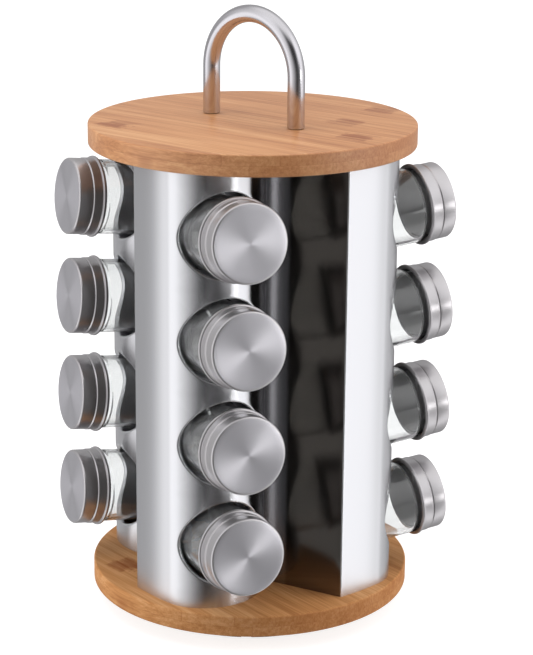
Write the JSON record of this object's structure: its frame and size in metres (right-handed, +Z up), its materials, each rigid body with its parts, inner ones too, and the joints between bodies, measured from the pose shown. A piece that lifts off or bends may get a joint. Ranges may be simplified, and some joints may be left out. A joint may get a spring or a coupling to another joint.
{
  "type": "spice carousel",
  "caption": "Turning countertop spice rack: a folded steel column holds tilted glass jars with steel lids between round bamboo discs, with an arched carrying handle on top.",
  "frame": {"origin": "centre of the underside of the foot, on the axis the carousel turns about", "axes": "+Z up along the axis of turning; -Y out of the face of the first column of lids"},
  "size_m": [0.2014, 0.2014, 0.3578],
  "materials": {
    "bamboo": "laminated bamboo strips under a satin lacquer",
    "column_steel": "bright polished stainless sheet",
    "guide_steel": "plain mill-finish sheet",
    "polished_rod": "polished round rod",
    "lid_steel": "pressed stainless, lightly spun face",
    "jar_glass": "clear moulded glass",
    "zinc_steel": "bright zinc-plated steel",
    "ball_steel": "ground bearing balls",
    "insert_brass": "plain threaded insert",
    "foot_plastic": "moulded black plastic",
    "cage_plastic": "natural moulded plastic",
    "foot_rubber": "soft black rubber"
  },
  "bodies": {
    "foot": {"foot_plate": "foot_plastic", "foot_strip": "foot_rubber", "lower_race": "zinc_steel"},
    "ball_cage": {"ball_cage": "cage_plastic", "bearing_ball_1": "ball_steel", "bearing_ball_2": "ball_steel", "bearing_ball_3": "ball_steel", "bearing_ball_4": "ball_steel", "bearing_ball_5": "ball_steel", "bearing_ball_6": "ball_steel"},
    "carousel": {"upper_race": "zinc_steel", "base_disc": "bamboo", "top_disc": "bamboo", "column_sheet_1": "column_steel", "column_sheet_2": "column_steel", "column_sheet_3": "column_steel", "column_sheet_4": "column_steel", "guide_plate_1": "guide_steel", "guide_plate_2": "guide_steel", "guide_plate_3": "guide_steel", "guide_plate_4": "guide_steel", "handle": "polished_rod", "handle_nut_1": "zinc_steel", "handle_nut_2": "zinc_steel", "tie_rod": "zinc_steel", "tie_rod_insert": "insert_brass", "tie_rod_nut": "zinc_steel"},
    "jar_1_1": {"jar_1_1": "jar_glass"},
    "lid_1_1": {"lid_1_1": "lid_steel"},
    "jar_1_2": {"jar_1_2": "jar_glass"},
    "lid_1_2": {"lid_1_2": "lid_steel"},
    "jar_1_3": {"jar_1_3": "jar_glass"},
    "lid_1_3": {"lid_1_3": "lid_steel"},
    "jar_1_4": {"jar_1_4": "jar_glass"},
    "lid_1_4": {"lid_1_4": "lid_steel"},
    "jar_2_1": {"jar_2_1": "jar_glass"},
    "lid_2_1": {"lid_2_1": "lid_steel"},
    "jar_2_2": {"jar_2_2": "jar_glass"},
    "lid_2_2": {"lid_2_2": "lid_steel"},
    "jar_2_3": {"jar_2_3": "jar_glass"},
    "lid_2_3": {"lid_2_3": "lid_steel"},
    "jar_2_4": {"jar_2_4": "jar_glass"},
    "lid_2_4": {"lid_2_4": "lid_steel"},
    "jar_3_1": {"jar_3_1": "jar_glass"},
    "lid_3_1": {"lid_3_1": "lid_steel"},
    "jar_3_2": {"jar_3_2": "jar_glass"},
    "lid_3_2": {"lid_3_2": "lid_steel"},
    "jar_3_3": {"jar_3_3": "jar_glass"},
    "lid_3_3": {"lid_3_3": "lid_steel"},
    "jar_3_4": {"jar_3_4": "jar_glass"},
    "lid_3_4": {"lid_3_4": "lid_steel"},
    "jar_4_1": {"jar_4_1": "jar_glass"},
    "lid_4_1": {"lid_4_1": "lid_steel"},
    "jar_4_2": {"jar_4_2": "jar_glass"},
    "lid_4_2": {"lid_4_2": "lid_steel"},
    "jar_4_3": {"jar_4_3": "jar_glass"},
    "lid_4_3": {"lid_4_3": "lid_steel"},
    "jar_4_4": {"jar_4_4": "jar_glass"},
    "lid_4_4": {"lid_4_4": "lid_steel"}
  },
  "joints": [
    {"name": "carousel_spin", "type": "hinge", "parent": "foot", "child": "carousel", "pos_m": [0, 0, 0.01], "axis": [0, 0, 1], "continuous": true},
    {"name": "cage_spin", "type": "hinge", "parent": "foot", "child": "ball_cage", "pos_m": [0, 0, 0.007], "axis": [0, 0, 1], "continuous": true},
    {"name": "jar_1_1_draw", "type": "slide", "parent": "carousel", "child": "jar_1_1", "axis": [0, -0.9945, 0.1045], "range_m": [0, 0.07]},
    {"name": "lid_1_1_lift", "type": "slide", "parent": "jar_1_1", "child": "lid_1_1", "axis": [0, -0.9945, 0.1045], "range_m": [0, 0.025]},
    {"name": "jar_1_2_draw", "type": "slide", "parent": "carousel", "child": "jar_1_2", "axis": [0, -0.9945, 0.1045], "range_m": [0, 0.07]},
    {"name": "lid_1_2_lift", "type": "slide", "parent": "jar_1_2", "child": "lid_1_2", "axis": [0, -0.9945, 0.1045], "range_m": [0, 0.025]},
    {"name": "jar_1_3_draw", "type": "slide", "parent": "carousel", "child": "jar_1_3", "axis": [0, -0.9945, 0.1045], "range_m": [0, 0.07]},
    {"name": "lid_1_3_lift", "type": "slide", "parent": "jar_1_3", "child": "lid_1_3", "axis": [0, -0.9945, 0.1045], "range_m": [0, 0.025]},
    {"name": "jar_1_4_draw", "type": "slide", "parent": "carousel", "child": "jar_1_4", "axis": [0, -0.9945, 0.1045], "range_m": [0, 0.07]},
    {"name": "lid_1_4_lift", "type": "slide", "parent": "jar_1_4", "child": "lid_1_4", "axis": [0, -0.9945, 0.1045], "range_m": [0, 0.025]},
    {"name": "jar_2_1_draw", "type": "slide", "parent": "carousel", "child": "jar_2_1", "axis": [0.9945, 0, 0.1045], "range_m": [0, 0.07]},
    {"name": "lid_2_1_lift", "type": "slide", "parent": "jar_2_1", "child": "lid_2_1", "axis": [0.9945, 0, 0.1045], "range_m": [0, 0.025]},
    {"name": "jar_2_2_draw", "type": "slide", "parent": "carousel", "child": "jar_2_2", "axis": [0.9945, 0, 0.1045], "range_m": [0, 0.07]},
    {"name": "lid_2_2_lift", "type": "slide", "parent": "jar_2_2", "child": "lid_2_2", "axis": [0.9945, 0, 0.1045], "range_m": [0, 0.025]},
    {"name": "jar_2_3_draw", "type": "slide", "parent": "carousel", "child": "jar_2_3", "axis": [0.9945, 0, 0.1045], "range_m": [0, 0.07]},
    {"name": "lid_2_3_lift", "type": "slide", "parent": "jar_2_3", "child": "lid_2_3", "axis": [0.9945, 0, 0.1045], "range_m": [0, 0.025]},
    {"name": "jar_2_4_draw", "type": "slide", "parent": "carousel", "child": "jar_2_4", "axis": [0.9945, 0, 0.1045], "range_m": [0, 0.07]},
    {"name": "lid_2_4_lift", "type": "slide", "parent": "jar_2_4", "child": "lid_2_4", "axis": [0.9945, 0, 0.1045], "range_m": [0, 0.025]},
    {"name": "jar_3_1_draw", "type": "slide", "parent": "carousel", "child": "jar_3_1", "axis": [0, 0.9945, 0.1045], "range_m": [0, 0.07]},
    {"name": "lid_3_1_lift", "type": "slide", "parent": "jar_3_1", "child": "lid_3_1", "axis": [0, 0.9945, 0.1045], "range_m": [0, 0.025]},
    {"name": "jar_3_2_draw", "type": "slide", "parent": "carousel", "child": "jar_3_2", "axis": [0, 0.9945, 0.1045], "range_m": [0, 0.07]},
    {"name": "lid_3_2_lift", "type": "slide", "parent": "jar_3_2", "child": "lid_3_2", "axis": [0, 0.9945, 0.1045], "range_m": [0, 0.025]},
    {"name": "jar_3_3_draw", "type": "slide", "parent": "carousel", "child": "jar_3_3", "axis": [0, 0.9945, 0.1045], "range_m": [0, 0.07]},
    {"name": "lid_3_3_lift", "type": "slide", "parent": "jar_3_3", "child": "lid_3_3", "axis": [0, 0.9945, 0.1045], "range_m": [0, 0.025]},
    {"name": "jar_3_4_draw", "type": "slide", "parent": "carousel", "child": "jar_3_4", "axis": [0, 0.9945, 0.1045], "range_m": [0, 0.07]},
    {"name": "lid_3_4_lift", "type": "slide", "parent": "jar_3_4", "child": "lid_3_4", "axis": [0, 0.9945, 0.1045], "range_m": [0, 0.025]},
    {"name": "jar_4_1_draw", "type": "slide", "parent": "carousel", "child": "jar_4_1", "axis": [-0.9945, 0, 0.1045], "range_m": [0, 0.07]},
    {"name": "lid_4_1_lift", "type": "slide", "parent": "jar_4_1", "child": "lid_4_1", "axis": [-0.9945, 0, 0.1045], "range_m": [0, 0.025]},
    {"name": "jar_4_2_draw", "type": "slide", "parent": "carousel", "child": "jar_4_2", "axis": [-0.9945, 0, 0.1045], "range_m": [0, 0.07]},
    {"name": "lid_4_2_lift", "type": "slide", "parent": "jar_4_2", "child": "lid_4_2", "axis": [-0.9945, 0, 0.1045], "range_m": [0, 0.025]},
    {"name": "jar_4_3_draw", "type": "slide", "parent": "carousel", "child": "jar_4_3", "axis": [-0.9945, 0, 0.1045], "range_m": [0, 0.07]},
    {"name": "lid_4_3_lift", "type": "slide", "parent": "jar_4_3", "child": "lid_4_3", "axis": [-0.9945, 0, 0.1045], "range_m": [0, 0.025]},
    {"name": "jar_4_4_draw", "type": "slide", "parent": "carousel", "child": "jar_4_4", "axis": [-0.9945, 0, 0.1045], "range_m": [0, 0.07]},
    {"name": "lid_4_4_lift", "type": "slide", "parent": "jar_4_4", "child": "lid_4_4", "axis": [-0.9945, 0, 0.1045], "range_m": [0, 0.025]}
  ],
  "couplings": [
    {"joint": "cage_spin", "follows": "carousel_spin", "ratio": 0.5}
  ]
}
